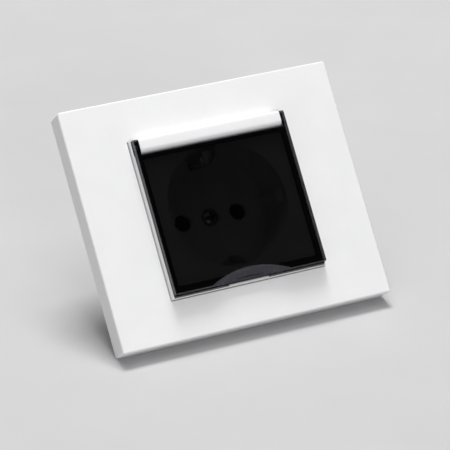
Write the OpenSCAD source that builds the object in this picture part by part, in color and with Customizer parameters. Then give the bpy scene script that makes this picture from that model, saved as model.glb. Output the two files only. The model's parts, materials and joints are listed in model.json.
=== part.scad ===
// Flush-mounted earthed socket outlet with a flat cover frame and a sprung, see-through lid.
// Millimetres. X to the right, Y into the wall, Z up.
// The origin is the centre of the socket on the wall plane; the frame's front faces -Y.

/* [Cover frame] */
// Width of the cover frame
frame_w = 91.3; // [84:0.1:110]
// Height of the cover frame
frame_h = 76.9; // [76:0.1:100]
// Thickness of the frame, from the wall to its front face
frame_t = 7.7; // [7:0.1:10]
// Thickness of the frame's front wall
frame_face = 2.0; // [1.6:0.1:2.4]
// Thickness of the frame's outer walls
frame_wall = 1.8; // [1.4:0.1:2.2]
// Radius of the frame's outline corners
frame_corner_r = 0.9; // [0.4:0.1:2]
// Bevel round the frame's front edge
frame_bevel = 0.35; // [0.2:0.05:0.8]
// How far the frame's centre lies above the socket's centre
frame_lift = 0.45; // [0:0.05:0.8]
// Width of the window that the insert sits in
window_w = 52.6; // [52.2:0.1:53]
// Height of the window
window_h = 51.1; // [50.8:0.1:51.6]
// Wall of the collar round the window, behind the front wall
collar_wall = 1.3; // [1:0.1:1.6]
// Thickness of the stiffening ribs
frame_rib_t = 1.0; // [0.8:0.1:1.4]
// Width of one snap hook
hook_w = 4.0; // [3:0.1:4.4]

/* [Socket insert] */
// Gap between the insert and the window, all round
insert_gap = 0.25; // [0.15:0.05:0.35]
// How far the insert's face stands out of the frame
insert_rise = 1.4; // [1:0.1:2]
// Thickness of the insert's face
insert_face = 1.8; // [1.5:0.1:2.2]
// Wall round the insert's edge
insert_wall = 1.4; // [1.1:0.1:1.6]
// Diameter of the plug recess
recess_d = 39.4; // [39:0.1:39.8]
// Depth of the plug recess from the insert's face
recess_depth = 17.5; // [17.3:0.1:18.2]
// Wall round the recess
cup_wall = 1.2; // [1:0.1:1.3]
// Thickness of the recess floor
floor_t = 1.6; // [1.4:0.1:2]
// Distance between the two pin holes
pin_spacing = 19; // [18.9:0.1:19.1]
// Diameter of a pin hole
pin_hole_d = 5.5; // [5.2:0.1:5.8]
// Width of the guide ribs at the sides of the recess
guide_w = 4.6; // [4:0.1:5.2]
// How far the guide ribs stand into the recess
guide_rise = 2.2; // [1.6:0.1:2.6]

/* [Lid and hinge] */
// Width of the lid
lid_w = 51.1; // [50.9:0.1:51.3]
// Height of the lid's front above the insert's face
lid_rise = 2.4; // [2.2:0.1:2.8]
// Thickness of the lid's front plate
lid_plate = 1.4; // [1:0.1:1.5]
// Thickness of the lid's side skirts
lid_skirt = 2.0; // [1.6:0.1:2.2]
// Ledge of the insert that shows below the lid
lid_ledge = 0.65; // [0.4:0.05:0.9]
// How far the lid's lower wall leans in towards the front
lid_lean = 0.4; // [0.2:0.05:0.6]
// Running gap under the lid
lid_gap = 0.05; // [0.03:0.01:0.1]
// Half the height of the hinge bar
bar_half_h = 2.35; // [2.3:0.05:2.4]
// Radius along the bar's lower front edge
bar_edge_r = 1.7; // [1.6:0.05:2]
// Distance of the hinge axis below the window's top edge
hinge_drop = 2.7; // [2.65:0.05:2.9]
// Width of a lid ear
ear_w = 1.5; // [1.4:0.1:1.8]
// Gap between an ear and the end of the bar
ear_gap = 0.1; // [0.1:0.05:0.3]
// Radius of the ears' upper front corner
ear_corner_r = 1.0; // [0.9:0.1:1.4]
// Diameter of the hinge pin
hinge_pin_d = 1.5; // [1.3:0.1:1.7]
// Radial running clearance of pins, screws and nuts
running_gap = 0.05; // [0.03:0.01:0.1]
// Wire of the lid spring
spring_wire = 0.36; // [0.3:0.02:0.4]
// Number of turns of the lid spring
spring_turns = 8; // [5:1:10]
// Sagitta of the finger scoop on the lid's front
scoop_rise = 3.4; // [2.6:0.1:3.8]
// Depth of the notch that the scoop leaves in the lid's lower edge
scoop_notch = 0.9; // [0.6:0.1:1.2]
// Radius of the scoop's arc on the lid's front
scoop_arc_r = 27.3; // [24:0.1:34]

/* [Mounting yoke] */
// Width of the yoke
yoke_w = 70; // [69:0.5:71]
// Gap between the yoke and the inside of the frame's upper and lower walls
yoke_gap = 1.65; // [1.2:0.05:1.7]
// Thickness of the yoke's sheet
yoke_t = 1.2; // [1:0.1:1.4]
// Distance between opposite wall screws
wall_screw_spacing = 60; // [60:0.1:60.6]
// Width of a wall screw slot
slot_w = 3.6; // [3.2:0.1:4]
// Length of a wall screw slot, end to end
slot_l = 7; // [6:0.1:7.4]

/* [Mechanism] */
// Thickness of the cover over the contacts
contact_cover_t = 2.4; // [2:0.1:3]
// Depth of the base block behind the contact cover
base_depth = 16.9; // [16.5:0.1:18]
// Wall of the base's ring
ring_wall = 1.0; // [0.8:0.1:1.2]
// Half the width of the base block
base_half_w = 20.8; // [20:0.1:20.9]
// Half the height of the base block
base_half_h = 13.3; // [13.2:0.1:13.4]
// Thickness of the contact metal
contact_t = 0.7; // [0.6:0.05:0.8]
// Thickness of the earth strap
strap_t = 0.8; // [0.6:0.05:0.85]
// Width of the earth strap and its clips
strap_w = 5.0; // [4.4:0.1:5.2]
// How far the earth clips stand in from the wall of the recess
clip_reach = 5.3; // [5:0.1:5.5]
// Height of the terminals above the pins
terminal_rise = 8.4; // [8.3:0.1:8.6]

/* [Screws] */
// Diameter of the terminal screws, claw screws and centre screw
screw_d = 3.0; // [2.8:0.1:3.2]
// Width of a claw
claw_w = 6.0; // [5.6:0.1:6.2]
// Distance of the claw screws from the side of the base block
claw_gap = 3.1; // [3:0.05:3.2]
// Distance of the claw screws from the middle, up or down
claw_z = 8.6; // [8.4:0.1:8.8]

/* [Hidden] */
$fn = 64;
touch = 0.01;        // overlap that joins two shapes of one solid
clear = 1;           // how far a cutting shape runs past what it cuts
fit_gap = 0.1;       // gap between pieces of the mechanism that sit on each other

// Levels along Y, from the front to the back
face_y = -frame_t;
insert_y = face_y - insert_rise;
lid_front_y = insert_y - lid_rise;
lid_base_y = insert_y - lid_gap;
floor_y = insert_y + recess_depth;
cup_back_y = floor_y + floor_t;
cover_y = cup_back_y + fit_gap;
deck_y = cover_y + contact_cover_t;
base_back_y = deck_y + base_depth;
yoke_y = -yoke_t;

// Window, insert and recess
insert_w = window_w - 2 * insert_gap;
insert_h = window_h - 2 * insert_gap;
recess_r = recess_d / 2;
cup_r = recess_r + cup_wall;
pin_x = pin_spacing / 2;
insert_ribs = [-15, 15];
guide_start = 3;                   // depth at which the guide ribs begin
frame_rib_h = 2.1;

// Hinge
ear_r = bar_half_h - running_gap;
ear_top = ear_r + 0.1;             // height of an ear above the hinge axis
hinge_y = lid_front_y + ear_r;
hinge_z = window_h / 2 - hinge_drop;
bar_end = lid_w / 2 - ear_w - ear_gap;
bar_top_r = 0.7;
bar_crown = 0.04;                  // how far the bar's front bulges out
pin_r = hinge_pin_d / 2;
pin_end = lid_w / 2 - 0.4;         // the pin's bore is blind in the right ear
ear_clear = 0.15;
ear_pocket_r = ear_r + ear_clear;
ear_sweep_r = norm([ear_r - ear_corner_r, ear_top - ear_corner_r]) + ear_corner_r + ear_clear;
ear_pocket_end = lid_w / 2 + ear_clear;
band_z = hinge_z - bar_half_h - 0.9;   // lower edge of the thick band that carries the bar
band_back_y = hinge_y + ear_sweep_r + 0.9;
spring_pocket_r = bar_half_h - 0.6;
spring_r = (pin_r + running_gap + spring_pocket_r) / 2;
spring_pocket_l = spring_turns * spring_wire * 2.6 + 1.2;
spring_leg = 0.9;                  // length of each end of the spring in its hole
leg_hole = spring_wire + 0.2;

// Lid
lid_top_z = hinge_z - bar_half_h - 0.3;
lid_bottom_z = -window_h / 2 + insert_gap + lid_ledge;
lid_bottom_front_z = lid_bottom_z + lid_lean;
lid_top_skirt = 1.2;
lid_lower_skirt = 2.8;
scoop_top_z = lid_bottom_front_z + scoop_rise;
scoop_tilt = atan((scoop_top_z - lid_bottom_z - scoop_notch) / (lid_base_y - lid_front_y));
scoop_r = scoop_arc_r / cos(scoop_tilt);

// Yoke and base
yoke_corner_r = 4;
yoke_flange = 2.0;                 // height of the bent edges
yoke_h = frame_h - 2 * (frame_wall + yoke_gap);
yoke_flange_l = yoke_h - 2 * yoke_corner_r - 10;
ring_in_r = cup_r + 0.2;
ring_out_r = ring_in_r + ring_wall;
ring_flat_x = base_half_w + 0.1;   // the ring is flat at the sides, to let the claws pass
yoke_hole_r = ring_in_r + 0.1;
rivet_angles = [45 : 90 : 315];
base_ear_r = 2.9;
ear_centre_r = ring_out_r + base_ear_r + 0.2;
base_ear_t = 2.4;
rivet_r = 1.25;
rivet_head_r = rivet_r + 0.8;
rivet_head_t = 0.6;
cover_rivet_at = (cup_r - 3.4) * [cos(31), sin(31)];   // the contact cover's rivets, either way
cover_rivet_r = 0.8;
hook_x = 8;
hook_t = 1.1;
hook_catch = 0.6;

// Contacts and terminals
leaf_h = 5.6;
leaf_x = 3.1;                      // leaf centre from the pin's axis where it is straight
pinch_x = 2.5;                     // leaf centre from the pin's axis where it grips
leaf_grip_y = deck_y + 2.9;
leaf_straight_y = deck_y + 6.2;
leaf_end_y = deck_y + 14.5;
cavity_half = 4.2;
cavity_low = 3.8;
cavity_high = terminal_rise + 4.0;
bay_half = 3.7;
bay_low = terminal_rise - 3.4;
tail_y = deck_y + 8.5;             // front of the terminal plates
tail_back_y = tail_y + contact_t;
tail_half = 3.95;
tail_top = terminal_rise + 3.8;
upper_half_w = pin_x + cavity_half + 1.4;
cavity_end_y = base_back_y - 1.2;
clip_t = 0.45;
clip_l = 2.2;
strap_y = cover_y + 0.05 + strap_t / 2;
strap_end_z = recess_r - 2.5;
strap_slot = [strap_end_z - 1.3, strap_end_z + 1.1];   // where the strap passes through the recess floor
clip_peak = recess_r - clip_reach + strap_t / 2;   // middle of the strip where a clip stands in farthest
clip_peak_y = 0.6;
clip_bend_r = 3.2;
clip_front = [-4.6, clip_peak + 3.6];
nose_r = 3;                        // the clips are round towards the middle, seen from the front
nose_z = recess_r - clip_reach;
nose_drop = nose_r - sqrt(nose_r * nose_r - strap_w * strap_w / 4);
leg_z = tail_top - strap_t / 2;    // the strap's leg to its terminal
groove_half = strap_w / 2 + 0.2;

// Screws and clamps
screw_r = screw_d / 2;
screw_hole_r = screw_r + running_gap;
screw_well = screw_r + 0.3;
head_r = 2.75;
head_h = 1.8;
clamp_half = 3.3;
clamp_t = 1.0;
clamp_y = tail_back_y + 0.2;
centre_head_y = floor_y - 0.7;
centre_seat_y = floor_y + 0.6;
slot_depth = 0.8;
slot_width = 0.8;
centre_cross = 3.4;
terminal_cross = 3.2;
claw_cross = 2.8;

// Claws
barrel_r = 2.2;
barrel_y = 14.3;
claw_t = 1.0;
claw_in_r = barrel_r + 0.1;
claw_out_r = claw_in_r + claw_t;
claw_arm_l = 9.4;
claw_tooth = 0.9;
claw_ring_start = 238;             // where the claw's hook round the barrel begins
claw_head_r = 2.2;
claw_screw_end_y = 21;
claw_notch = claw_head_r + 0.5;
claw_sides = [-1, 1];
claw_x = max(base_half_w + claw_gap, sqrt(pow(cup_r + claw_head_r, 2) - pow(claw_z, 2)));

terminal_x = [-pin_x, pin_x, 0];

// Extrusions along each axis
module slab(y0, y1) {
    translate([0, y1, 0]) rotate([90, 0, 0]) linear_extrude(y1 - y0) children();
}
module profile_x(x0, x1) {
    translate([x0, 0, 0]) rotate([90, 0, 90]) linear_extrude(x1 - x0) children();
}
module profile_z(z0, z1) {
    translate([0, 0, z0]) linear_extrude(z1 - z0) children();
}
module rod_y(x, z, r, y0, y1) {
    translate([x, y1, z]) rotate([90, 0, 0]) cylinder(r = r, h = y1 - y0);
}
module rod_x(y, z, r, x0, x1) {
    translate([x0, y, z]) rotate([0, 90, 0]) cylinder(r = r, h = x1 - x0);
}
module rod_z(x, y, r, z0, z1) {
    translate([x, y, z0]) cylinder(r = r, h = z1 - z0);
}
module block(x, y, z) {
    translate([x[0], y[0], z[0]]) cube([x[1] - x[0], y[1] - y[0], z[1] - z[0]]);
}
module mirrored_x() {
    children();
    mirror([1, 0, 0]) children();
}

// A rectangle with round corners
module rounded(w, h, r) {
    square([w - 2 * r, h], center = true);
    square([w, h - 2 * r], center = true);
    for (x = [-1, 1], y = [-1, 1]) translate([x * (w / 2 - r), y * (h / 2 - r)]) circle(r = r, $fn = 32);
}
// A slot of length l and width w along the first axis
module slot(l, w) {
    square([l - w, w], center = true);
    for (x = [-1, 1]) translate([x * (l - w) / 2, 0]) circle(d = w, $fn = 32);
}

// A bent strip: a path of points thickened on both sides, with mitred bends
function unit(v) = v / norm(v);
function miter(p, i) = let (
    a = unit(i > 0 ? p[i] - p[i - 1] : p[1] - p[0]),
    b = i < len(p) - 1 ? unit(p[i + 1] - p[i]) : a,
    m = unit(a + b)
) [-m[1], m[0]] / (m * a);
module strip(path, t) {
    polygon(concat(
        [for (i = [0 : len(path) - 1]) path[i] + miter(path, i) * t / 2],
        [for (i = [len(path) - 1 : -1 : 0]) path[i] - miter(path, i) * t / 2]
    ));
}

// A cross recess in a screw head that faces -Y at level y
module cross_recess(x, z, y, size) {
    translate([x, y + slot_depth / 2 - touch, z]) {
        cube([size, slot_depth, slot_width], center = true);
        cube([slot_width, slot_depth, size], center = true);
    }
}

// Room for the heads of the claw screws
module claw_head_cuts() {
    for (s = claw_sides) translate([s * claw_x, 0, -s * claw_z])
        block([-claw_notch, claw_notch], [yoke_y - head_h - 0.5, clear], [-claw_notch, claw_notch]);
}

// Cover frame
module frame_bevels() {
    s = frame_bevel * sqrt(2);
    translate([0, face_y, frame_lift]) {
        for (x = [-1, 1]) translate([x * frame_w / 2, 0, 0]) rotate([0, 0, 45])
            cube([s, s, frame_h + 2], center = true);
        for (z = [-1, 1]) translate([0, 0, z * frame_h / 2]) rotate([45, 0, 0])
            cube([frame_w + 2, s, s], center = true);
    }
}
module frame_shell() {
    difference() {
        slab(face_y, 0) translate([0, frame_lift]) rounded(frame_w, frame_h, frame_corner_r);
        frame_bevels();
        slab(face_y + frame_face, clear) translate([0, frame_lift])
            square([frame_w - 2 * frame_wall, frame_h - 2 * frame_wall], center = true);
    }
}
module frame_ribs() {
    y = [face_y + frame_face - touch, face_y + frame_face + frame_rib_h];
    low = frame_lift - frame_h / 2 + frame_wall - touch;
    high = frame_lift + frame_h / 2 - frame_wall + touch;
    side = frame_w / 2 - frame_wall + touch;
    for (x = [-18, -6, 6, 18]) {
        block([x - frame_rib_t / 2, x + frame_rib_t / 2], y, [low, -window_h / 2]);
        block([x - frame_rib_t / 2, x + frame_rib_t / 2], y, [window_h / 2, high]);
    }
    for (z = [-18, -6, 6, 18]) mirrored_x()
        block([window_w / 2, side], y, [z - frame_rib_t / 2, z + frame_rib_t / 2]);
}
// One snap hook at the top edge of the window
module snap_hook() {
    z0 = window_h / 2 + 0.05;
    z1 = z0 + hook_t;
    profile_x(-hook_w / 2, hook_w / 2) polygon([
        [yoke_y - clear, z0], [yoke_y - clear, z1], [fit_gap, z1], [fit_gap, z1 + hook_catch],
        [0.5, z1 + hook_catch], [1.5, z1 - 0.3], [1.5, z0]
    ]);
}
module cover_frame() color("white") {
    difference() {
        union() {
            frame_shell();
            slab(face_y + frame_face - touch, yoke_y)
                square([window_w + 2 * collar_wall, window_h + 2 * collar_wall], center = true);
            frame_ribs();
        }
        slab(face_y - clear, clear) square([window_w, window_h], center = true);
        claw_head_cuts();
    }
    for (z = [0, 1], x = [-1, 1]) mirror([0, 0, z]) translate([x * hook_x, 0, 0]) snap_hook();
}

// Socket insert
module insert_body() {
    rib_y = [insert_y, face_y + 4];
    rib_start = 13;
    slab(insert_y, insert_y + insert_face) square([insert_w, insert_h], center = true);
    slab(insert_y, yoke_y) difference() {
        square([insert_w, insert_h], center = true);
        square([insert_w - 2 * insert_wall, insert_h - 2 * insert_wall], center = true);
    }
    rod_y(0, 0, cup_r, insert_y, cup_back_y);
    block([-insert_w / 2, insert_w / 2], [insert_y, band_back_y], [band_z, insert_h / 2]);
    for (x = insert_ribs, z = [0, 1]) mirror([0, 0, z])
        block([x - 0.5, x + 0.5], rib_y, [rib_start, insert_h / 2 - touch]);
    for (z = insert_ribs) mirrored_x()
        block([rib_start, insert_w / 2 - touch], rib_y, [z - 0.5, z + 0.5]);
}
// The bar between the lid's ears: a slightly crowned front over a well rounded lower edge
module hinge_bar() {
    h = bar_half_h;
    low = h - bar_edge_r;
    high = h - bar_top_r;
    translate([0, hinge_y, hinge_z]) profile_x(-bar_end, bar_end) {
        polygon([
            [0.2, -h], [-low, -h], [-h, -low], [-h - bar_crown, high / 2], [-h, high], [-high, h], [0.2, h]
        ]);
        translate([-low, -low]) circle(r = bar_edge_r);
        translate([-high, high]) circle(r = bar_top_r);
    }
}
// Room for an ear in the insert; the corner of the ear sweeps through its upper half
module ear_pocket() {
    rod_x(hinge_y, hinge_z, ear_pocket_r, bar_end, ear_pocket_end);
    intersection() {
        rod_x(hinge_y, hinge_z, ear_sweep_r, bar_end, ear_pocket_end);
        block([bar_end, ear_pocket_end], [hinge_y - ear_sweep_r, hinge_y + ear_sweep_r],
            [hinge_z, hinge_z + ear_sweep_r]);
    }
}
module socket_insert() color("whitesmoke") {
    difference() {
        union() {
            difference() {
                union() {
                    insert_body();
                    hinge_bar();
                }
                rod_y(0, 0, recess_r, insert_y - clear, floor_y);
            }
            mirrored_x() intersection() {
                rod_y(0, 0, recess_r + touch, insert_y + guide_start, floor_y + touch);
                block([recess_r - guide_rise, recess_r + clear], [insert_y, floor_y + clear],
                    [-guide_w / 2, guide_w / 2]);
            }
        }
        for (x = [-pin_x, pin_x]) rod_y(x, 0, pin_hole_d / 2, floor_y - clear, cup_back_y + clear);
        rod_y(0, 0, head_r + 0.3, floor_y - clear, centre_seat_y);
        rod_y(0, 0, screw_r + 0.2, floor_y, cup_back_y + clear);
        for (z = [0, 1]) mirror([0, 0, z]) {
            block([-groove_half - 0.3, groove_half + 0.3], [insert_y + 3.2, floor_y],
                [recess_r - clear, recess_r + 0.6]);
            block([-groove_half, groove_half], [floor_y - clear, cup_back_y + clear], strap_slot);
        }
        mirrored_x() ear_pocket();
        rod_x(hinge_y, hinge_z, pin_r + running_gap, -bar_end - clear, bar_end + clear);
        rod_x(hinge_y, hinge_z, spring_pocket_r, bar_end - spring_pocket_l, bar_end + clear);
        translate([bar_end - spring_pocket_l - spring_leg / 2, hinge_y, hinge_z + spring_r])
            cube([spring_leg + 0.4, leg_hole, leg_hole], center = true);
        claw_head_cuts();
    }
}

// Lid: a shallow tray with two hinge ears
module lid_scoop() {
    translate([0, lid_front_y, scoop_top_z]) rotate([-scoop_tilt, 0, 0])
        rod_y(0, -scoop_r, scoop_r, -10, 10, $fn = 180);
}
module lid_ear() {
    x = [lid_w / 2 - ear_w, lid_w / 2];
    front = ear_r - ear_corner_r;
    high = ear_top - ear_corner_r;
    rod_x(hinge_y, hinge_z, ear_r, x[0], x[1]);
    translate([0, hinge_y, hinge_z]) profile_x(x[0], x[1]) {
        polygon([[0, 0], [-ear_r, 0], [-ear_r, high], [-front, high], [-front, ear_top], [0, ear_r]]);
        translate([-front, high]) circle(r = ear_corner_r);
    }
    block(x, [lid_front_y, lid_base_y], [lid_top_z - touch, hinge_z]);
}
module lid() color([0.08, 0.08, 0.09, 0.6]) {
    difference() {
        union() {
            profile_x(-lid_w / 2, lid_w / 2) polygon([
                [lid_front_y, lid_bottom_front_z], [lid_front_y, lid_top_z],
                [lid_base_y, lid_top_z], [lid_base_y, lid_bottom_z]
            ]);
            mirrored_x() lid_ear();
        }
        block([-lid_w / 2 + lid_skirt, lid_w / 2 - lid_skirt],
            [lid_front_y + lid_plate, lid_base_y + clear],
            [lid_bottom_z + lid_lower_skirt, lid_top_z - lid_top_skirt]);
        lid_scoop();
        rod_x(hinge_y, hinge_z, pin_r, -lid_w / 2 - clear, pin_end);
        translate([lid_w / 2 - ear_w, hinge_y, hinge_z + spring_r])
            cube([2 * spring_leg, leg_hole, leg_hole], center = true);
    }
}
module hinge_pin() color("silver") {
    rod_x(hinge_y, hinge_z, pin_r, -lid_w / 2 + 0.15, pin_end);
}

// Torsion spring: a wire swept along a helix with a straight leg at each end
spring_steps = 12;
spring_sides = 6;
spring_x0 = bar_end - spring_pocket_l + 0.3;
spring_x1 = bar_end - 0.3;
function coil_point(x, turn) = [
    x, hinge_y + spring_r * sin(turn * 360), hinge_z + spring_r * cos(turn * 360)
];
function coil_path() = concat(
    [coil_point(spring_x0 - spring_leg, 0)],
    [for (i = [0 : spring_turns * spring_steps])
        let (t = i / (spring_turns * spring_steps))
        coil_point(spring_x0 + t * (spring_x1 - spring_x0), t * spring_turns)],
    [coil_point(lid_w / 2 - ear_w + spring_leg - 0.2, spring_turns)]
);
function coil_ring(path, i) = let (
    last = len(path) - 1,
    p = path[i],
    along = i == 0 || i == last ? [1, 0, 0] : unit(path[i + 1] - path[i - 1]),
    out = unit([0, p[1] - hinge_y, p[2] - hinge_z]),
    side = cross(along, out)
) [for (k = [0 : spring_sides - 1])
    let (turn = k * 360 / spring_sides) p + spring_wire / 2 * (cos(turn) * out + sin(turn) * side)];
module lid_spring() color("dimgray") {
    path = coil_path();
    last = len(path) - 1;
    n = spring_sides;
    polyhedron(
        points = [for (i = [0 : last]) each coil_ring(path, i)],
        faces = concat(
            [[for (k = [0 : n - 1]) k]],
            [for (i = [0 : last - 1], k = [0 : n - 1]) each [
                [i * n + k, (i + 1) * n + k, (i + 1) * n + (k + 1) % n],
                [i * n + k, (i + 1) * n + (k + 1) % n, i * n + (k + 1) % n]]],
            [[for (k = [n - 1 : -1 : 0]) last * n + k]]
        )
    );
}

module centre_screw() color("silver") {
    difference() {
        union() {
            rod_y(0, 0, head_r, centre_head_y, centre_seat_y);
            rod_y(0, 0, screw_r, centre_seat_y - touch, deck_y + 3);
        }
        cross_recess(0, 0, centre_head_y, centre_cross);
    }
}

// Earth strap: both clips, the bridge behind the floor and the leg to the earth terminal
function clip_path() = concat(
    [clip_front],
    [for (a = [-42 : 13.4 : 25])
        [clip_peak_y + clip_bend_r * sin(a), clip_peak + clip_bend_r * (1 - cos(a))]],
    [[floor_y - 3, strap_end_z - 0.7], [floor_y - 0.4, strap_end_z], [strap_y, strap_end_z]]
);
function flipped(path) = [for (i = [len(path) - 1 : -1 : 0]) [path[i][0], -path[i][1]]];
// What is cut from both sides of the upper clip, so that its nose is round
module nose_cut() {
    slab(clip_front[0], floor_y - 2) difference() {
        translate([-strap_w / 2 - clear, nose_z - clear]) square([strap_w + 2 * clear, clear + nose_drop]);
        translate([0, nose_z + nose_r]) circle(r = nose_r);
    }
}
module earth_strap() color("gainsboro") {
    leg_y = tail_y + strap_t / 2;
    difference() {
        union() {
            profile_x(-strap_w / 2, strap_w / 2)
                strip(concat(clip_path(), flipped(clip_path())), strap_t);
            profile_x(-strap_w / 2, strap_w / 2)
                strip([[strap_y, leg_z], [leg_y, leg_z], [leg_y, leg_z - 2]], strap_t);
            block([-clamp_half, clamp_half], [tail_y, tail_y + strap_t], [bay_low + 0.2, tail_top]);
        }
        for (z = [0, 1]) mirror([0, 0, z]) nose_cut();
        rod_y(0, 0, screw_hole_r, strap_y - strap_t, strap_y + strap_t);
        rod_y(0, terminal_rise, screw_hole_r, tail_y - clear, tail_y + strap_t + clear);
    }
}

// Mounting yoke
module mounting_yoke() color("lightsteelblue") {
    slab(yoke_y, 0) difference() {
        rounded(yoke_w, yoke_h, yoke_corner_r);
        circle(r = yoke_hole_r);
        for (x = [-1, 1]) translate([x * wall_screw_spacing / 2, 0]) slot(slot_l, slot_w);
        for (z = [-1, 1]) translate([0, z * wall_screw_spacing / 2]) rotate(90) slot(slot_l, slot_w);
        for (s = claw_sides) translate([s * claw_x, -s * claw_z]) circle(r = screw_r + 0.2);
        for (a = rivet_angles) translate(ear_centre_r * [cos(a), sin(a)]) circle(r = rivet_r + running_gap);
        for (x = [-1, 1], z = [0, 1]) mirror([0, z])
            translate([x * hook_x, window_h / 2 + hook_t / 2 + 0.35])
                square([hook_w + 0.6, hook_t + hook_catch + 0.5], center = true);
    }
    mirrored_x() block([yoke_w / 2 - yoke_t, yoke_w / 2], [yoke_y - yoke_flange, yoke_y + touch],
        [-yoke_flange_l / 2, yoke_flange_l / 2]);
}
module yoke_rivets() color("silver") {
    for (a = rivet_angles) {
        p = ear_centre_r * [cos(a), sin(a)];
        rod_y(p[0], p[1], rivet_r, yoke_y, base_ear_t);
        rod_y(p[0], p[1], rivet_head_r, yoke_y - rivet_head_t, yoke_y);
        rod_y(p[0], p[1], rivet_head_r, base_ear_t, base_ear_t + rivet_head_t);
    }
}

// Base of the mechanism
module base_ring() {
    difference() {
        intersection() {
            rod_y(0, 0, ring_out_r, 0, deck_y + 1.2);
            block([-ring_flat_x, ring_flat_x], [-clear, base_back_y],
                [-ring_out_r - clear, ring_out_r + clear]);
        }
        rod_y(0, 0, ring_in_r, -clear, deck_y);
    }
    for (a = rivet_angles) rotate([0, -a, 0]) difference() {
        union() {
            rod_y(ear_centre_r, 0, base_ear_r, 0, base_ear_t);
            block([ring_in_r + 0.4, ear_centre_r], [0, base_ear_t], [-base_ear_r, base_ear_r]);
        }
        rod_y(ear_centre_r, 0, rivet_r + running_gap, -clear, base_ear_t + clear);
        rod_y(0, 0, ring_in_r, -clear, deck_y);
    }
}
module base_block() {
    block([-base_half_w, base_half_w], [deck_y, base_back_y], [-base_half_h, bay_low - 0.4]);
    block([-upper_half_w, upper_half_w], [deck_y, base_back_y], [0, base_half_h]);
}
module contact_cavity(x) {
    block([x - cavity_half, x + cavity_half], [deck_y - clear, cavity_end_y],
        [-cavity_low, cavity_low + 0.6]);
    block([x - cavity_half, x + cavity_half], [deck_y - clear, tail_back_y + 0.05], [0, cavity_high]);
}
module terminal_bay(x) {
    block([x - bay_half, x + bay_half], [tail_y, base_back_y + clear], [bay_low, base_half_h + clear]);
}
module rear_pockets() {
    low = -base_half_h + 1.4;
    side = base_half_w - 1.6;
    y = [deck_y + 5, base_back_y + clear];
    middle = 5.8;
    wall = 1.4;
    for (x = [[-side, -middle - wall], [-middle, middle], [middle + wall, side]])
        block(x, y, [low, -cavity_low - 1.2]);
    mirrored_x() block([pin_x + cavity_half + 1.2, base_half_w - wall], y, [-cavity_low, bay_low - 1.6]);
}
module mechanism_base() color("gainsboro") {
    difference() {
        union() {
            base_ring();
            base_block();
        }
        for (x = [-pin_x, pin_x]) contact_cavity(x);
        block([-clamp_half - 0.2, clamp_half + 0.2], [deck_y - clear, tail_y + strap_t + 0.05],
            [bay_low - 0.2, cavity_high]);
        for (x = terminal_x) terminal_bay(x);
        block([-screw_well, screw_well], [deck_y - clear, deck_y + 3.4], [-screw_well, screw_well]);
        for (s = [-1, 1]) rod_y(s * cover_rivet_at[0], -s * cover_rivet_at[1], cover_rivet_r + running_gap,
            deck_y - clear, deck_y + 4);
        rear_pockets();
    }
}
module contact_cover() color("whitesmoke") {
    difference() {
        rod_y(0, 0, cup_r, cover_y, deck_y);
        for (x = [-pin_x, pin_x]) rod_y(x, 0, pin_hole_d / 2, cover_y - clear, deck_y + clear);
        block([-groove_half, groove_half], [cover_y - clear, strap_y + strap_t / 2 + fit_gap],
            [-strap_end_z - 0.6, strap_end_z + 0.6]);
        rod_y(0, 0, screw_r + 0.2, cover_y - clear, deck_y + clear);
        block([-groove_half, groove_half], [cover_y - clear, deck_y + clear], [leg_z - 0.6, leg_z + 0.6]);
        for (s = [-1, 1]) rod_y(s * cover_rivet_at[0], -s * cover_rivet_at[1], cover_rivet_r + running_gap,
            cover_y - clear, deck_y + clear);
    }
}
module cover_rivets() color("silver") {
    for (s = [-1, 1]) rod_y(s * cover_rivet_at[0], -s * cover_rivet_at[1], cover_rivet_r,
        cover_y + 0.05, deck_y + 3.8);
}

// Pin contacts: two sprung leaves under a web, with a terminal plate
function leaf_path() = [
    [deck_y + 0.5, leaf_x + 0.5], [leaf_grip_y - 1, pinch_x + 0.35], [leaf_grip_y, pinch_x],
    [leaf_grip_y + 1, pinch_x + 0.15], [leaf_straight_y, leaf_x], [leaf_end_y, leaf_x]
];
module pin_contact(x) {
    web_z = leaf_h / 2;
    difference() {
        translate([x, 0, 0]) union() {
            for (s = [-1, 1]) profile_z(-leaf_h / 2, leaf_h / 2)
                strip([for (p = leaf_path()) [s * p[1], p[0]]], contact_t);
            block([-leaf_x - contact_t / 2, leaf_x + contact_t / 2], [leaf_straight_y, leaf_end_y],
                [web_z - touch, web_z + contact_t]);
            block([-leaf_x, leaf_x], [tail_y, tail_back_y], [web_z, bay_low]);
            block([-tail_half, tail_half], [tail_y, tail_back_y], [bay_low - 0.4, tail_top]);
        }
        rod_y(x, terminal_rise, screw_hole_r, tail_y - clear, tail_back_y + clear);
    }
}
module contact_clip(x) {
    half = pinch_x + contact_t / 2 + clip_t / 2 + 0.35;
    low = -leaf_h / 2 + 0.4;
    high = leaf_h / 2 + 0.35;
    translate([x, 0, 0]) slab(leaf_grip_y - clip_l / 2 + 0.4, leaf_grip_y + clip_l / 2 + 0.4) strip([
        [-half - 0.2, low], [-half, low + 1], [-half - clip_t / 2, high],
        [half + clip_t / 2, high], [half, low + 1], [half + 0.2, low]
    ], clip_t);
}
module line_contact() color("goldenrod") pin_contact(-pin_x);
module neutral_contact() color("goldenrod") pin_contact(pin_x);
module line_contact_clip() color("slategray") contact_clip(-pin_x);
module neutral_contact_clip() color("slategray") contact_clip(pin_x);

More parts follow.
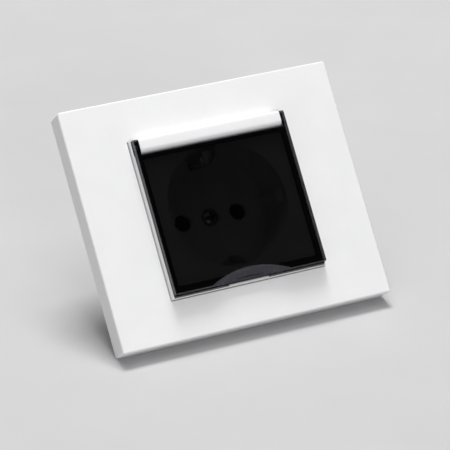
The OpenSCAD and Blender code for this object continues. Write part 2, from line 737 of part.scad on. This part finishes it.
// Terminals: a clamp plate that moves out with its screw
module terminal_clamp(x) {
    difference() {
        union() {
            block([x - clamp_half, x + clamp_half], [clamp_y, clamp_y + clamp_t],
                [terminal_rise - clamp_half, terminal_rise + clamp_half]);
            mirror_about(x) block([x + clamp_half - 0.5, x + clamp_half],
                [clamp_y + touch, clamp_y + clamp_t + 0.6],
                [terminal_rise - clamp_half, terminal_rise + clamp_half]);
        }
        rod_y(x, terminal_rise, screw_r + fit_gap, clamp_y - clear, clamp_y + clamp_t + clear);
    }
}
module mirror_about(x) {
    children();
    translate([2 * x, 0, 0]) mirror([1, 0, 0]) children();
}
module terminal_screw(x) {
    head_y = clamp_y + clamp_t + 0.05;
    translate([x, 0, terminal_rise]) difference() {
        union() {
            rod_y(0, 0, screw_r, tail_y - 2.6, head_y + touch);
            rod_y(0, 0, head_r - 0.15, head_y, head_y + head_h);
        }
        cross_recess(0, 0, head_y + head_h - slot_depth + 2 * touch, terminal_cross);
    }
}
module line_clamp() color("silver") terminal_clamp(terminal_x[0]);
module neutral_clamp() color("silver") terminal_clamp(terminal_x[1]);
module earth_clamp() color("silver") terminal_clamp(terminal_x[2]);
module line_screw() color("silver") terminal_screw(terminal_x[0]);
module neutral_screw() color("silver") terminal_screw(terminal_x[1]);
module earth_screw() color("silver") terminal_screw(terminal_x[2]);

// Claws, drawn for the right side about their barrel nut and mirrored for the left
module at_claw(side) {
    if (side > 0) translate([claw_x, 0, -claw_z]) children();
    else translate([-claw_x, 0, claw_z]) mirror([1, 0, 0]) children();
}
module claw_outline() {
    far = 2 * claw_out_r;
    translate([0, barrel_y]) intersection() {
        difference() {
            circle(r = claw_out_r);
            circle(r = claw_in_r);
        }
        polygon(concat([[0, 0]], [for (a = [claw_ring_start, 270, 315, 360]) far * [cos(a), sin(a)]]));
    }
    translate([claw_in_r, barrel_y - touch]) square([claw_t, claw_arm_l]);
    for (i = [0 : 2]) translate([claw_out_r - touch, barrel_y + claw_arm_l - 1.4 - 1.3 * i])
        polygon([[0, 0], [claw_tooth, 1.3], [0, 1.3]]);
}
module claw(side) {
    at_claw(side) difference() {
        profile_z(-claw_w / 2, claw_w / 2) claw_outline();
        block([-claw_out_r - clear, claw_out_r + clear], [0, barrel_y - 0.6], [-screw_well, screw_well]);
    }
}
module claw_nut(side) {
    at_claw(side) difference() {
        rod_z(0, barrel_y, barrel_r, -claw_w / 2, claw_w / 2);
        rod_y(0, 0, screw_hole_r, barrel_y - 5, barrel_y + 5);
    }
}
module claw_screw(side) {
    at_claw(side) difference() {
        union() {
            rod_y(0, 0, screw_r, yoke_y - touch, claw_screw_end_y);
            rod_y(0, 0, claw_head_r, yoke_y - head_h, yoke_y);
        }
        cross_recess(0, 0, yoke_y - head_h, claw_cross);
    }
}
module claw_left() color("silver") claw(-1);
module claw_right() color("silver") claw(1);
module claw_screw_left() color("silver") claw_screw(-1);
module claw_screw_right() color("silver") claw_screw(1);
module claw_nut_left() color("gray") claw_nut(-1);
module claw_nut_right() color("gray") claw_nut(1);

cover_frame();
socket_insert();
lid();
hinge_pin();
lid_spring();
centre_screw();
earth_strap();
mounting_yoke();
mechanism_base();
contact_cover();
cover_rivets();
yoke_rivets();
line_contact();
neutral_contact();
line_contact_clip();
neutral_contact_clip();
line_clamp();
neutral_clamp();
earth_clamp();
line_screw();
neutral_screw();
earth_screw();
claw_left();
claw_right();
claw_screw_left();
claw_screw_right();
claw_nut_left();
claw_nut_right();
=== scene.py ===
import json
import math

import bmesh
import bpy
from mathutils import Matrix, Vector


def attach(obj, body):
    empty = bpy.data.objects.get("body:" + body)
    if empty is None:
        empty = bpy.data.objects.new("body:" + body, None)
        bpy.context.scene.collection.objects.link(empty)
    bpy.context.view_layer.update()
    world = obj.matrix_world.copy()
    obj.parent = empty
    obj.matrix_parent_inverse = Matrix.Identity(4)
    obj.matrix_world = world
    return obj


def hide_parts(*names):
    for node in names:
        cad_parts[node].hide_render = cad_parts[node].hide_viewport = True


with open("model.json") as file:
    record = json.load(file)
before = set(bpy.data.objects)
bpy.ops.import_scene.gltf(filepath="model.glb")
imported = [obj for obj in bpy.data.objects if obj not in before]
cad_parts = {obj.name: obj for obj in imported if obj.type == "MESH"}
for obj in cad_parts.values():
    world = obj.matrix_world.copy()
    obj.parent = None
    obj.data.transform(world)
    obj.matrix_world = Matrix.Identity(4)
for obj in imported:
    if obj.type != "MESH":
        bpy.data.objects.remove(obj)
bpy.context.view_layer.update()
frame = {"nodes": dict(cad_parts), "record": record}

MM = 0.001
nodes = frame["nodes"]

# The photograph's view: f is in pixels of a 450 pixel wide frame
FOCAL_PX = 2508.77
FRAME_PX = 450
CAMERA_AT = Vector((-290.1, -717.5, -122.25)) * MM
CAMERA_RIGHT = Vector((0.9069, -0.3233, -0.2702))
CAMERA_FORWARD = Vector((0.3713, 0.9163, 0.1500))

# The surface that the socket leans back on, under the frame's lower rear edge
FLOOR_UP = Vector((0.0, -0.6413, 0.7673))
FLOOR_AT = Vector((0.0, 0.0, -38.02)) * MM
RIGHT = Vector((1.0, 0.0, 0.0))
BACK = FLOOR_UP.cross(RIGHT)


# Camera
camera_data = bpy.data.cameras.new("camera")
camera_data.sensor_width = 36.0
camera_data.lens = FOCAL_PX * 36.0 / FRAME_PX
camera_data.clip_start = 0.01
camera_data.clip_end = 50.0
camera = bpy.data.objects.new("camera", camera_data)
bpy.context.scene.collection.objects.link(camera)
forward = CAMERA_FORWARD.normalized()
right = (CAMERA_RIGHT - forward * CAMERA_RIGHT.dot(forward)).normalized()
up = right.cross(forward)
turn = Matrix((right, up, -forward)).transposed().to_4x4()
camera.matrix_world = Matrix.Translation(CAMERA_AT) @ turn
bpy.context.scene.camera = camera
bpy.context.scene.view_settings.view_transform = "Standard"


# Materials
class Shader:
    """A node material under construction."""

    def __init__(self, name):
        self.material = bpy.data.materials.new(name)
        self.material.use_nodes = True
        self.tree = self.material.node_tree
        self.tree.nodes.clear()
        self.output = self.add("ShaderNodeOutputMaterial")
        self.coords = self.add("ShaderNodeTexCoord").outputs["Object"]

    def add(self, kind, **values):
        node = self.tree.nodes.new(kind)
        for key, value in values.items():
            setattr(node, key, value)
        return node

    def link(self, a, b):
        self.tree.links.new(a, b)

    def noise(self, per_metre, detail=3.0, roughness=0.5, stretch=None):
        node = self.add("ShaderNodeTexNoise")
        node.inputs["Scale"].default_value = per_metre
        node.inputs["Detail"].default_value = detail
        node.inputs["Roughness"].default_value = roughness
        if stretch is None:
            self.link(self.coords, node.inputs["Vector"])
        else:
            mapping = self.add("ShaderNodeMapping")
            mapping.inputs["Scale"].default_value = stretch
            self.link(self.coords, mapping.inputs["Vector"])
            self.link(mapping.outputs["Vector"], node.inputs["Vector"])
        return node.outputs["Fac"]

    def ramp(self, fac, low, high, start=0.3, end=0.7):
        node = self.add("ShaderNodeValToRGB")
        node.color_ramp.elements[0].position = start
        node.color_ramp.elements[1].position = end
        node.color_ramp.elements[0].color = low
        node.color_ramp.elements[1].color = high
        self.link(fac, node.inputs["Fac"])
        return node.outputs["Color"]

    def span(self, fac, low, high):
        node = self.add("ShaderNodeMapRange")
        node.inputs["From Min"].default_value = 0.3
        node.inputs["From Max"].default_value = 0.7
        node.inputs["To Min"].default_value = low
        node.inputs["To Max"].default_value = high
        self.link(fac, node.inputs["Value"])
        return node.outputs["Result"]

    def math(self, operation, a, b):
        node = self.add("ShaderNodeMath", operation=operation)
        for socket, value in zip(node.inputs, (a, b)):
            if isinstance(value, (int, float)):
                socket.default_value = value
            else:
                self.link(value, socket)
        return node.outputs["Value"]

    def bump(self, height, depth, strength=1.0):
        node = self.add("ShaderNodeBump")
        node.inputs["Strength"].default_value = strength
        node.inputs["Distance"].default_value = depth
        self.link(height, node.inputs["Height"])
        return node.outputs["Normal"]

    def finish(self, surface):
        self.link(surface, self.output.inputs["Surface"])
        return self.material


def tint(color, factor):
    return tuple(min(1.0, c * factor) for c in color[:3]) + (1.0,)


def moulded(name, color, roughness, grain, grain_depth, coat=0.0, variation=0.02):
    """Moulded plastic: faint cloudiness, fine grain, slightly uneven gloss."""
    s = Shader(name)
    p = s.add("ShaderNodeBsdfPrincipled")
    cloud = s.noise(90.0, 2.0)
    speck = s.noise(5200.0, 2.0)
    both = s.math("ADD", s.math("MULTIPLY", cloud, 0.7), s.math("MULTIPLY", speck, 0.3))
    s.link(s.ramp(both, tint(color, 1 - variation), tint(color, 1 + variation)), p.inputs["Base Color"])
    s.link(s.span(s.noise(700.0, 3.0), roughness * 0.88, roughness * 1.12), p.inputs["Roughness"])
    s.link(s.bump(s.noise(grain, 3.0), grain_depth), p.inputs["Normal"])
    p.inputs["IOR"].default_value = 1.49
    p.inputs["Coat Weight"].default_value = coat
    p.inputs["Coat Roughness"].default_value = 0.12
    p.inputs["Subsurface Weight"].default_value = 0.0
    return s.finish(p.outputs["BSDF"])


def metal(name, color, roughness, stretch=(1, 1, 1), scale=2600.0, depth=0.000006, stain=0.12):
    """Sheet or turned metal: drawn streaks, small stains and worn gloss."""
    s = Shader(name)
    p = s.add("ShaderNodeBsdfPrincipled")
    streaks = s.noise(scale, 3.0, 0.6, stretch)
    stains = s.noise(260.0, 4.0, 0.6)
    both = s.math("ADD", s.math("MULTIPLY", streaks, 0.5), s.math("MULTIPLY", stains, 0.5))
    s.link(s.ramp(both, tint(color, 1 - stain), tint(color, 1 + stain * 0.4)), p.inputs["Base Color"])
    s.link(s.span(streaks, roughness * 0.75, roughness * 1.3), p.inputs["Roughness"])
    s.link(s.bump(streaks, depth), p.inputs["Normal"])
    p.inputs["Metallic"].default_value = 1.0
    return s.finish(p.outputs["BSDF"])


def smoked(name, opacity, gloss_level, roughness, color, streak=(1, 1, 1)):
    """Smoked see-through plastic. opacity is the share of light that one surface stops."""
    s = Shader(name)
    p = s.add("ShaderNodeBsdfPrincipled")
    cloud = s.noise(150.0, 3.0)
    s.link(s.ramp(cloud, tint(color, 0.8), tint(color, 1.2)), p.inputs["Base Color"])
    s.link(s.span(s.noise(600.0, 3.0, 0.5, streak), roughness * 0.8, roughness * 1.25), p.inputs["Roughness"])
    s.link(s.bump(s.noise(1500.0, 2.0, 0.5, streak), 0.000004), p.inputs["Normal"])
    s.link(s.span(cloud, opacity * 0.99, opacity * 1.01), p.inputs["Alpha"])
    p.inputs["IOR"].default_value = 1.49
    p.inputs["Specular IOR Level"].default_value = gloss_level
    return s.finish(p.outputs["BSDF"])


frame_white = moulded("frame_white", (0.875, 0.875, 0.88, 1), 0.42, 1500.0, 0.000004)
insert_white = moulded("insert_white", (0.88, 0.88, 0.885, 1), 0.34, 1200.0, 0.000003)
base_plastic = moulded("base_plastic", (0.07, 0.07, 0.072, 1), 0.5, 1800.0, 0.000012, variation=0.08)
steel = metal("steel", (0.62, 0.62, 0.63, 1), 0.28)
spring_steel = metal("spring_steel", (0.34, 0.34, 0.36, 1), 0.32)
nickel = metal("nickel", (0.74, 0.72, 0.70, 1), 0.1, (1, 0.08, 1), depth=0.000002)
screw_nickel = metal("screw_nickel", (0.40, 0.40, 0.42, 1), 0.14, (1, 0.08, 1), depth=0.000002)
# painted shade: near-black nickel laid on the cross recess's walls and floor to darken the recess
recess_painted_shade = metal("recess_painted_shade", (0.05, 0.05, 0.055, 1), 0.4, (1, 0.08, 1), depth=0.000002)
zinc_steel = metal("zinc_steel", (0.62, 0.64, 0.68, 1), 0.34, (1, 0.1, 0.1), 1800.0, 0.00001, 0.18)
brass = metal("brass", (0.80, 0.60, 0.30, 1), 0.3, (1, 0.1, 1))
lid_front = smoked("smoked_lid", 0.71, 0.006, 0.1, (0.0006, 0.0006, 0.0009, 1))
lid_side = smoked("smoked_lid_side", 0.80, 0.5, 0.12, (0.006, 0.006, 0.007, 1), (1, 0.15, 1))
lid_dense = smoked("smoked_lid_dense", 0.93, 0.2, 0.2, (0.002, 0.002, 0.002, 1))

lid_scooped = smoked("smoked_lid_scoop", 0.8, 0.3, 0.25, (0.05, 0.049, 0.062, 1))
lid_edge = smoked("smoked_lid_edge", 0.985, 0.3, 0.2, (0.002, 0.002, 0.0022, 1))
# painted shade: a faint dark see-through sheet for the foot under the lid, greying the insert's ledge
ledge_painted_shade = smoked("smoked_ledge_painted_shade", 0.35, 0.3, 0.2, (0.004, 0.004, 0.004, 1))

MATERIALS = {
    "steel": steel, "spring_steel": spring_steel, "nickel": nickel, "zinc_steel": zinc_steel,
    "brass": brass, "base_plastic": base_plastic, "frame_white": frame_white,
    "insert_white": insert_white, "smoked_lid": lid_front,
}
for entry in frame["record"]["subparts"]:
    node = nodes[entry["node"]]
    node.data.materials.clear()
    node.data.materials.append(MATERIALS[entry["material_slot"]])


# Pieces with softened edges that stand for CAD nodes
def baked(piece, name):
    bpy.context.view_layer.update()
    graph = bpy.context.evaluated_depsgraph_get()
    made = bpy.data.meshes.new_from_object(piece.evaluated_get(graph), preserve_all_data_layers=True, depsgraph=graph)
    piece.modifiers.clear()
    piece.data = made
    made.name = name


def softened(node, name, body, material, width, wanted, segments=3):
    """A copy of a node's form whose wanted edges are rounded. wanted takes the edge's two ends in
    millimetres and the normals of the faces beside it."""
    bm = bmesh.new()
    bm.from_mesh(nodes[node].data)
    bmesh.ops.remove_doubles(bm, verts=bm.verts, dist=2e-7)
    bmesh.ops.dissolve_limit(
        bm, angle_limit=math.radians(0.5), verts=bm.verts, edges=bm.edges, use_dissolve_boundaries=False
    )
    weight = bm.edges.layers.float.new("bevel_weight_edge")
    for edge in bm.edges:
        if len(edge.link_faces) != 2 or edge.calc_face_angle(0.0) < math.radians(25):
            continue
        ends = [v.co / MM for v in edge.verts]
        normals = [f.normal.copy() for f in edge.link_faces]
        edge[weight] = float(wanted(ends[0], ends[1], normals))
    mesh = bpy.data.meshes.new(name)
    bm.to_mesh(mesh)
    bm.free()
    if "custom_normal" in mesh.attributes:
        mesh.attributes.remove(mesh.attributes["custom_normal"])
    for polygon in mesh.polygons:
        polygon.use_smooth = True
        polygon.material_index = 0
    mesh.materials.clear()
    mesh.materials.append(material)
    piece = bpy.data.objects.new(name, mesh)
    bpy.context.scene.collection.objects.link(piece)
    bevel = piece.modifiers.new("soft_edges", "BEVEL")
    bevel.width = width * MM
    bevel.segments = segments
    bevel.limit_method = "WEIGHT"
    bevel.use_clamp_overlap = False
    bevel.miter_outer = "MITER_SHARP"
    bevel.harden_normals = False
    baked(piece, name)
    piece.data.set_sharp_from_angle(angle=math.radians(40))
    weighted = piece.modifiers.new("flat_faces", "WEIGHTED_NORMAL")
    weighted.mode = "FACE_AREA"
    weighted.weight = 100
    weighted.keep_sharp = True
    baked(piece, name)
    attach(piece, body)
    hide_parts(node)
    return piece


FACE_Y = -7.7
INSERT_Y = -9.1
LID_Y = -11.5
LID_BASE_Y = -9.15


def frame_edges(a, b, normals):
    long_enough = (a - b).length > 3.0
    front = max(a.y, b.y) < FACE_Y + 0.5
    return 1.0 if front and long_enough else 0.0


def insert_edges(a, b, normals):
    front = max(a.y, b.y) < INSERT_Y + 0.05
    outline = min(abs(a.x), abs(b.x)) > 26.0 or min(abs(a.z), abs(b.z)) > 25.2
    rim = max(a.xz.length, b.xz.length) < 19.8
    bar_end = min(abs(a.x), abs(b.x)) > 23.9 and max(a.y, b.y) < INSERT_Y - 0.1
    return 1.0 if front and (outline or rim or bar_end) else 0.0


def lid_edges(a, b, normals):
    behind = min(a.y, b.y) > LID_BASE_Y - 0.5
    inner = max(abs(a.x), abs(b.x)) < 24.0 and max(a.y, b.y) > LID_Y + 0.5 and max(a.z, b.z) > -22.5
    return 0.0 if behind or inner or (a - b).length < 0.5 else 1.0


frame_piece = softened("cover_frame", "frame_shell", "socket", frame_white, 0.14, frame_edges)
insert_piece = softened("socket_insert", "insert_shell", "socket", insert_white, 0.12, insert_edges)

# Centre screw: raised head with a cross recess, whose walls and floor carry a near-black painted shade
def turned(bm, profile, steps):
    """A closed form turned about the Y axis from (radius, y) pairs that start and end on the axis."""
    rings = []
    for radius, y in profile:
        if radius == 0:
            rings.append([bm.verts.new(Vector((0, y, 0)) * MM)])
            continue
        angles = [2 * math.pi * k / steps for k in range(steps)]
        rings.append([bm.verts.new(Vector((radius * math.cos(t), y, radius * math.sin(t))) * MM) for t in angles])
    for a, b in zip(rings, rings[1:]):
        for k in range(steps):
            n = (k + 1) % steps
            if len(a) == 1:
                bm.faces.new((a[0], b[k], b[n]))
            elif len(b) == 1:
                bm.faces.new((a[k], b[0], a[n]))
            else:
                bm.faces.new((a[k], b[k], b[n], a[n]))
    bmesh.ops.recalc_face_normals(bm, faces=bm.faces[:])


def mesh_object(name, bm):
    mesh = bpy.data.meshes.new(name)
    bm.to_mesh(mesh)
    bm.free()
    made = bpy.data.objects.new(name, mesh)
    bpy.context.scene.collection.objects.link(made)
    return made


HEAD_R = 2.75
HEAD_TOP_Y = 7.7
HEAD_DOME = 4.6
SHANK_R = 1.5
CROSS_DEPTH = 0.9
CROSS_LONG = (1.75, 1.25)
CROSS_WIDE = (0.42, 0.26)


def recess_screw_piece():
    ys = [v.co.y / MM for v in nodes["centre_screw"].data.vertices]
    seat = [v.co.y / MM for v in nodes["centre_screw"].data.vertices if v.co.xz.length / MM > HEAD_R - 0.3]
    profile = [(0, HEAD_TOP_Y)]
    for i in range(1, 13):
        r = (HEAD_R - 0.12) * i / 12
        profile.append((r, HEAD_TOP_Y + HEAD_DOME - math.sqrt(HEAD_DOME ** 2 - r ** 2)))
    profile += [(HEAD_R - 0.03, profile[-1][1] + 0.09), (HEAD_R, profile[-1][1] + 0.2), (HEAD_R, max(seat))]
    profile += [(SHANK_R, max(seat)), (SHANK_R, max(ys)), (0, max(ys))]
    bm = bmesh.new()
    turned(bm, profile, 64)
    piece = mesh_object("recess_screw", bm)
    piece.data.materials.append(screw_nickel)
    piece.data.materials.append(recess_painted_shade)
    cutters = []
    for along in (0, 1):
        bm = bmesh.new()
        levels = []
        for y, long, wide in ((HEAD_TOP_Y - 0.5, CROSS_LONG[0], CROSS_WIDE[0]),
                              (HEAD_TOP_Y + CROSS_DEPTH, CROSS_LONG[1], CROSS_WIDE[1])):
            u, w = (long, wide) if along else (wide, long)
            levels.append([bm.verts.new(Vector((x, y, z)) * MM) for x, z in ((-u, -w), (u, -w), (u, w), (-u, w))])
        low, high = levels
        bm.faces.new(low)
        bm.faces.new(high[::-1])
        for k in range(4):
            n = (k + 1) % 4
            bm.faces.new((low[k], high[k], high[n], low[n]))
        bmesh.ops.recalc_face_normals(bm, faces=bm.faces[:])
        cutter = mesh_object("cross_%d" % along, bm)
        cutters.append(cutter)
        cut = piece.modifiers.new("cross", "BOOLEAN")
        cut.operation = "DIFFERENCE"
        cut.solver = "EXACT"
        cut.object = cutter
    baked(piece, "recess_screw")
    for cutter in cutters:
        bpy.data.objects.remove(cutter, do_unlink=True)
    for polygon in piece.data.polygons:
        at = polygon.center / MM
        polygon.use_smooth = True
        dome_y = HEAD_TOP_Y + HEAD_DOME - math.sqrt(HEAD_DOME ** 2 - min(at.xz.length, HEAD_R) ** 2)
        # faces inside the cross recess take the near-black material, painted shade for the recess
        inside = at.xz.length < CROSS_LONG[0] and dome_y + 0.06 < at.y < HEAD_TOP_Y + CROSS_DEPTH + 0.01
        polygon.material_index = 1 if inside else 0
    piece.data.set_sharp_from_angle(angle=math.radians(35))
    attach(piece, "socket")
    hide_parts("centre_screw")


recess_screw_piece()


# Earth strap: its straight rear part, and a smooth clip with a domed nose at each end
def rounded_path(points, rounds):
    for _ in range(rounds):
        cut = [points[0]]
        for a, b in zip(points, points[1:]):
            cut += [a.lerp(b, 0.25), a.lerp(b, 0.75)]
        points = cut + [points[-1]]
    return points


STRAP_HALF_W = 2.5
STRAP_HALF_T = 0.4
NOSE_AT = Vector((0.6, 14.8))
NOSE_BEND = 3.2
TIP_LENGTH = 1.7
STRAP_CUT_Y = 8.7


def clip_form():
    """Points of the upper clip, as rows across the strip: (inner row, outer row) in millimetres."""
    bend = [math.radians(25 - 13.4 * i) for i in range(6)]
    path = [Vector((STRAP_CUT_Y + 0.3, 17.2)), Vector((8.0, 17.2)), Vector((5.4, 16.5))]
    path += [NOSE_AT + Vector((math.sin(t), 1 - math.cos(t))) * NOSE_BEND for t in bend]
    path += [Vector((-4.4, 18.25)), Vector((-5.4, 18.9))]
    path = rounded_path(path, 3)
    lengths = [0.0]
    for a, b in zip(path, path[1:]):
        lengths.append(lengths[-1] + (b - a).length)
    rows = []
    for i, point in enumerate(path):
        along = (path[min(i + 1, len(path) - 1)] - path[max(i - 1, 0)]).normalized()
        inward = Vector((along.y, -along.x))
        if inward.y > 0:
            inward = -inward
        left = lengths[-1] - lengths[i]
        reach = 1 - max(0.0, 1 - left / TIP_LENGTH) ** 2
        half = STRAP_HALF_W * math.sqrt(max(reach, 0.02))
        dome = 1.25 * math.exp(-((point.x - NOSE_AT.x) / 3.0) ** 2) + 0.15
        if point.x > 6.5:
            dome *= max(0.0, (8.2 - point.x) / 1.7)
        pair = []
        for push in (STRAP_HALF_T, -STRAP_HALF_T):
            row = []
            for k in range(13):
                x = half * (k / 6 - 1)
                drop = dome * (x / STRAP_HALF_W) ** 2
                at = point + inward * (push - drop)
                row.append(Vector((x, at.x, at.y)) * MM)
            pair.append(row)
        rows.append(pair)
    return rows


def earth_strap_piece():
    bm = bmesh.new()
    bm.from_mesh(nodes["earth_strap"].data)
    bmesh.ops.remove_doubles(bm, verts=bm.verts, dist=2e-7)
    cut = bmesh.ops.bisect_plane(
        bm, geom=bm.verts[:] + bm.edges[:] + bm.faces[:], dist=1e-7, plane_co=(0, STRAP_CUT_Y * MM, 0),
        plane_no=(0, 1, 0), clear_inner=True
    )
    bmesh.ops.holes_fill(bm, edges=[e for e in cut["geom_cut"] if isinstance(e, bmesh.types.BMEdge)])
    for sign in (1, -1):
        rings = []
        for inner, outer in clip_form():
            ring = [Vector((p.x, p.y, p.z * sign)) for p in inner + outer[::-1]]
            rings.append([bm.verts.new(p) for p in ring])
        faces = []
        for a, b in zip(rings, rings[1:]):
            for k in range(len(a)):
                n = (k + 1) % len(a)
                faces.append(bm.faces.new((a[k], a[n], b[n], b[k])))
        faces.append(bm.faces.new(rings[0]))
        faces.append(bm.faces.new(rings[-1]))
        bmesh.ops.recalc_face_normals(bm, faces=faces)
    mesh = bpy.data.meshes.new("earth_contacts")
    bm.to_mesh(mesh)
    bm.free()
    for polygon in mesh.polygons:
        polygon.use_smooth = True
        polygon.material_index = 0
    mesh.materials.clear()
    mesh.materials.append(nickel)
    mesh.set_sharp_from_angle(angle=math.radians(35))
    piece = bpy.data.objects.new("earth_contacts", mesh)
    bpy.context.scene.collection.objects.link(piece)
    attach(piece, "socket")
    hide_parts("earth_strap")
    return piece


earth_strap_piece()

lid_piece = softened("lid", "smoked_flap", "lid", lid_front, 0.13, lid_edges)
for extra in (lid_side, lid_dense, lid_scooped, ledge_painted_shade, lid_edge):
    lid_piece.data.materials.append(extra)
for polygon in lid_piece.data.polygons:
    n = polygon.normal
    at = polygon.center / MM
    if n.y < -0.97:
        polygon.material_index = 0
    elif -0.97 < n.y < -0.5 and n.z < -0.3 and at.z < -19.0:
        polygon.material_index = 3
    elif n.x > 0.5 and at.x > 25.0 and at.y < LID_BASE_Y:
        polygon.material_index = 5
    elif n.y > 0.9 and at.y > LID_BASE_Y - 0.1:
        polygon.material_index = 2
    elif n.y > 0.9:
        polygon.material_index = 0
    elif abs(at.x) < 23.8 and -22.0 < at.z < 18.0 and at.y > LID_Y + 1.3:
        polygon.material_index = 2
    else:
        polygon.material_index = 1

# Lower edge of the lid: a straight lip, and under it a thin foot with a thumb notch; the foot is a faint dark
# see-through sheet over the insert's ledge, painted shade that greys the ledge
LIP_HALF_W = 25.45
NOTCH_HALF_W = 6.3
bottom = min(v.co.z for v in nodes["lid"].data.vertices) / MM
LIP_PARTS = (
    ((-LIP_HALF_W, LIP_HALF_W), (-9.8, LID_BASE_Y), (bottom - 0.08, bottom + 0.2), 2),
    ((-10.0, 10.0), (-9.65, LID_BASE_Y), (bottom + 0.2, bottom + 1.0), 3),
    # slot 4: the foot's two halves, a dark see-through sheet that paints shade on the insert's ledge
    ((-LIP_HALF_W, -NOTCH_HALF_W - 1.0), (-9.6, LID_BASE_Y), (bottom - 0.52, bottom - 0.08), 4),
    ((NOTCH_HALF_W, LIP_HALF_W), (-9.6, LID_BASE_Y), (bottom - 0.52, bottom - 0.08), 4),
)
bm = bmesh.new()
bm.from_mesh(lid_piece.data)
for xs, ys, zs, slot in LIP_PARTS:
    corner = [[[bm.verts.new(Vector((x, y, z)) * MM) for z in zs] for y in ys] for x in xs]
    c = corner
    sides = [
        (c[0][0][0], c[1][0][0], c[1][0][1], c[0][0][1]), (c[0][1][0], c[0][1][1], c[1][1][1], c[1][1][0]),
        (c[0][0][0], c[0][0][1], c[0][1][1], c[0][1][0]), (c[1][0][0], c[1][1][0], c[1][1][1], c[1][0][1]),
        (c[0][0][0], c[0][1][0], c[1][1][0], c[1][0][0]), (c[0][0][1], c[1][0][1], c[1][1][1], c[0][1][1]),
    ]
    made = [bm.faces.new(side) for side in sides]
    bmesh.ops.recalc_face_normals(bm, faces=made)
    for face in made:
        face.material_index = slot
bm.to_mesh(lid_piece.data)
bm.free()

# Floor
size = 6.0
floor_mesh = bpy.data.meshes.new("floor")
corners = [FLOOR_AT + RIGHT * x * size + BACK * y * size for x, y in ((-1, -1), (1, -1), (1, 1), (-1, 1))]
floor_mesh.from_pydata([c[:] for c in corners], [], [(0, 1, 2, 3)])
floor = bpy.data.objects.new("floor", floor_mesh)
bpy.context.scene.collection.objects.link(floor)
if floor_mesh.polygons[0].normal.dot(FLOOR_UP) < 0:
    floor_mesh.flip_normals()

s = Shader("floor_paper")
paper = s.add("ShaderNodeBsdfDiffuse")
s.link(s.ramp(s.noise(40.0, 3.0), (0.538, 0.535, 0.541, 1), (0.552, 0.549, 0.555, 1)), paper.inputs["Color"])
below = s.add("ShaderNodeBsdfTransparent")
side = s.add("ShaderNodeNewGeometry").outputs["Backfacing"]
choice = s.add("ShaderNodeMixShader")
s.link(side, choice.inputs["Fac"])
s.link(paper.outputs["BSDF"], choice.inputs[1])
s.link(below.outputs["BSDF"], choice.inputs[2])
floor_mesh.materials.append(s.finish(choice.outputs["Shader"]))

# Light
world = bpy.data.worlds.new("world")
bpy.context.scene.world = world
world.use_nodes = True
tree = world.node_tree
tree.nodes.clear()
sky = tree.nodes.new("ShaderNodeBackground")
sky.inputs["Color"].default_value = (0.08, 0.08, 0.082, 1)
shown = tree.nodes.new("ShaderNodeBackground")
shown.inputs["Color"].default_value = (0.72, 0.72, 0.728, 1)
path = tree.nodes.new("ShaderNodeLightPath")
seen = path.outputs["Is Camera Ray"]
for other in ("Is Glossy Ray", "Is Transmission Ray"):
    either = tree.nodes.new("ShaderNodeMath")
    either.operation = "MAXIMUM"
    tree.links.new(seen, either.inputs[0])
    tree.links.new(path.outputs[other], either.inputs[1])
    seen = either.outputs["Value"]
mixed = tree.nodes.new("ShaderNodeMixShader")
tree.links.new(seen, mixed.inputs["Fac"])
tree.links.new(sky.outputs["Background"], mixed.inputs[1])
tree.links.new(shown.outputs["Background"], mixed.inputs[2])
world_out = tree.nodes.new("ShaderNodeOutputWorld")
tree.links.new(mixed.outputs["Shader"], world_out.inputs["Surface"])


def softbox(name, direction, distance, width, height, strength):
    data = bpy.data.lights.new(name, "AREA")
    data.shape = "RECTANGLE"
    data.size = width
    data.size_y = height
    data.energy = strength
    lamp = bpy.data.objects.new(name, data)
    bpy.context.scene.collection.objects.link(lamp)
    towards = (RIGHT * direction[0] + FLOOR_UP * direction[1] + BACK * direction[2]).normalized()
    lamp.location = towards * distance
    lamp.rotation_euler = towards.to_track_quat("Z", "Y").to_euler()
    return lamp


softbox("key", (0.07, 0.9, 0.3), 1.6, 0.55, 0.55, 19.2)
softbox("overhead", (0.0, 1.0, 0.0), 1.6, 1.8, 1.8, 15.4)
softbox("fill", (-0.1, 0.3, -0.95), 1.6, 0.45, 0.45, 5.9)
softbox("left", (-0.75, 0.4, -0.4), 1.6, 1.0, 1.0, 1.9)
